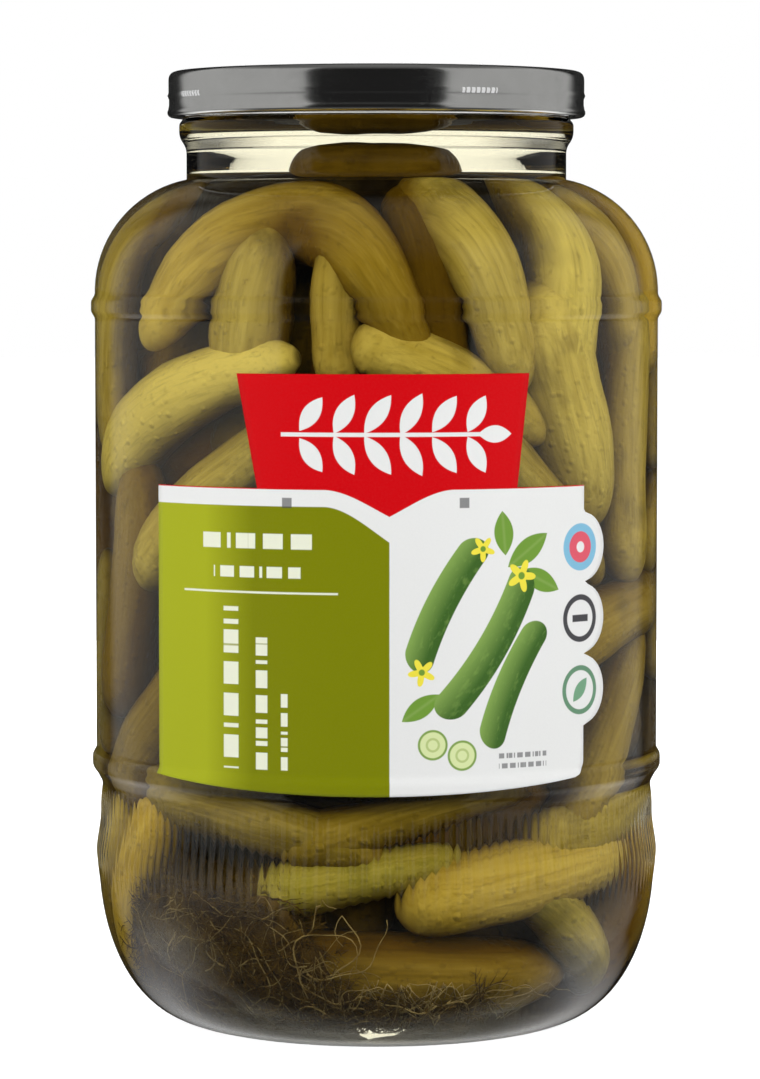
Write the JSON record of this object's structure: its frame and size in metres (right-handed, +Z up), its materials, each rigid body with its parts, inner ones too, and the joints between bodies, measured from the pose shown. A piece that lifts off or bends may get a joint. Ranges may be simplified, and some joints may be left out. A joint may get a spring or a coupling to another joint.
{
  "type": "pickle jar",
  "caption": "Shut glass jar with a ribbed heel, a black twist-off cap and a front paper label, packed with small pickled cucumbers and dill in brine.",
  "frame": {"origin": "middle of the jar's base, in the plane that it stands on", "axes": "+Z up along the jar's axis to the cap, -Y out of the label's front, +X to the right as the label is read"},
  "size_m": [0.1182, 0.1188, 0.1967],
  "materials": {
    "jar_glass": "clear flint glass, glossy",
    "lid_metal": "black lacquered steel, satin gloss",
    "label_paper": "coated paper with green, red and white printed fields",
    "cucumber": "wet olive-green pickled cucumber skin",
    "dill_herb": "dark olive-brown soaked dill"
  },
  "bodies": {
    "root": {"jar": "jar_glass", "lid": "lid_metal", "label": "label_paper", "pickles": "cucumber", "dill": "dill_herb"}
  },
  "joints": []
}
